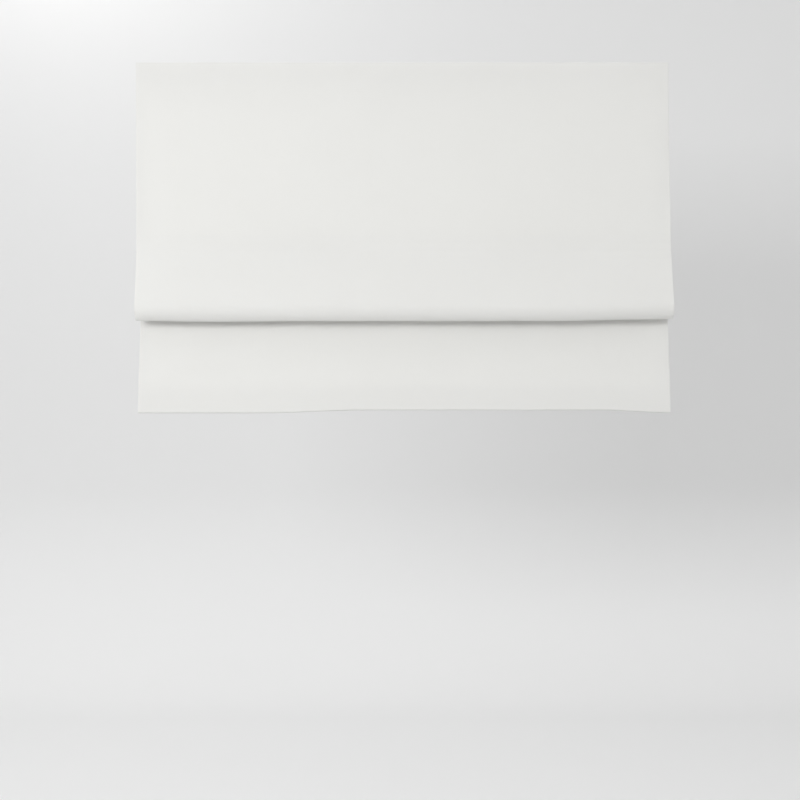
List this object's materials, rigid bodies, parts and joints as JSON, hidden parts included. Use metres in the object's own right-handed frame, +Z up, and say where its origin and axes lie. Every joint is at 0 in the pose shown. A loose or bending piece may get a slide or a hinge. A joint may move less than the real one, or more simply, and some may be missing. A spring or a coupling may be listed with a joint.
{
  "type": "roman blind",
  "caption": "Roman blind: a clip-in headrail with a spring lift, cords and rods carries pale dim-out cloth, gathered in soft folds over a weighted hem.",
  "frame": {"origin": "middle of the four screw holes of the two clip brackets, on the face that is screwed to the lintel", "axes": "+Z up, +X along the headrail to the right as seen from the room, -Y towards the room"},
  "size_m": [0.9, 0.089, 0.5885],
  "materials": {
    "cloth": "matt dim-out cloth, fine plain weave, off-white",
    "rail": "white powder-coated extrusion",
    "hook_tape": "touch fastener, hook side",
    "loop_tape": "touch fastener, loop side",
    "steel": "drawn and zinc plated",
    "spring_steel": "rolled spring band",
    "bracket_steel": "white painted spring steel",
    "mechanism_plastic": "moulded, natural white",
    "white_plastic": "moulded, white",
    "ring_plastic": "moulded, milky white",
    "rod": "pultruded glass-fibre rod",
    "pocket_tape": "woven rod tape, sewn",
    "cord": "braided polyester"
  },
  "bodies": {
    "headrail_frame": {"bracket_left": "bracket_steel", "bracket_right": "bracket_steel", "cloth": "cloth", "end_cap_left": "white_plastic", "end_cap_right": "white_plastic", "headrail": "rail", "hook_tape": "hook_tape", "lift_cord_centre": "cord", "lift_cord_left": "cord", "lift_cord_right": "cord", "loop_tape": "loop_tape", "motor_cover": "mechanism_plastic", "motor_housing": "mechanism_plastic", "motor_pin": "steel", "motor_spring": "spring_steel", "spool_cradle_centre": "mechanism_plastic", "spool_cradle_left": "mechanism_plastic", "spool_cradle_right": "mechanism_plastic"},
    "top_rod": {"cord_rings_top": "ring_plastic", "rod_pocket_top": "pocket_tape", "rod_tips_top": "white_plastic", "rod_top": "rod"},
    "middle_rod": {"cord_rings_middle": "ring_plastic", "rod_middle": "rod", "rod_pocket_middle": "pocket_tape", "rod_tips_middle": "white_plastic"},
    "bottom_rod": {"bottom_bar": "rail", "bottom_bar_caps": "white_plastic", "cord_anchors": "ring_plastic", "cord_knots": "cord", "rod_bottom": "rod", "rod_pocket_bottom": "pocket_tape", "rod_tips_bottom": "white_plastic"},
    "shaft": {"cord_winding_centre": "cord", "cord_winding_left": "cord", "cord_winding_right": "cord", "lift_shaft": "steel", "motor_output_drum": "mechanism_plastic", "spool_centre": "mechanism_plastic", "spool_left": "mechanism_plastic", "spool_right": "mechanism_plastic"},
    "storage_drum": {"motor_storage_drum": "mechanism_plastic"}
  },
  "joints": [
    {"name": "raise", "type": "slide", "parent": "headrail_frame", "child": "top_rod", "axis": [0, 0, 1], "range_m": [0, 0.245], "deforming": ["cloth", "lift_cord_left", "lift_cord_centre", "lift_cord_right"]},
    {"name": "lower", "type": "slide", "parent": "top_rod", "child": "middle_rod", "axis": [0, 0, 1], "range_m": [-0.29, 0], "deforming": ["cloth", "lift_cord_left", "lift_cord_centre", "lift_cord_right"]},
    {"name": "lower_rear", "type": "slide", "parent": "middle_rod", "child": "bottom_rod", "axis": [0, 0, 1], "range_m": [-0.236, 0.001], "deforming": ["cloth", "lift_cord_left", "lift_cord_centre", "lift_cord_right"]},
    {"name": "shaft_turn", "type": "hinge", "parent": "headrail_frame", "child": "shaft", "pos_m": [0, -0.00635, -0.024], "axis": [1, 0, 0], "range_deg": [-5, 3886]},
    {"name": "storage_turn", "type": "hinge", "parent": "headrail_frame", "child": "storage_drum", "pos_m": [0.15, 0.00665, -0.024], "axis": [1, 0, 0], "range_deg": [-3759, 5]}
  ],
  "couplings": [
    {"joint": "lower_rear", "follows": "lower", "ratio": 0.81034},
    {"joint": "shaft_turn", "follows": "lower", "rad_per_m": -233.59},
    {"joint": "storage_turn", "follows": "lower", "rad_per_m": 225.9}
  ]
}
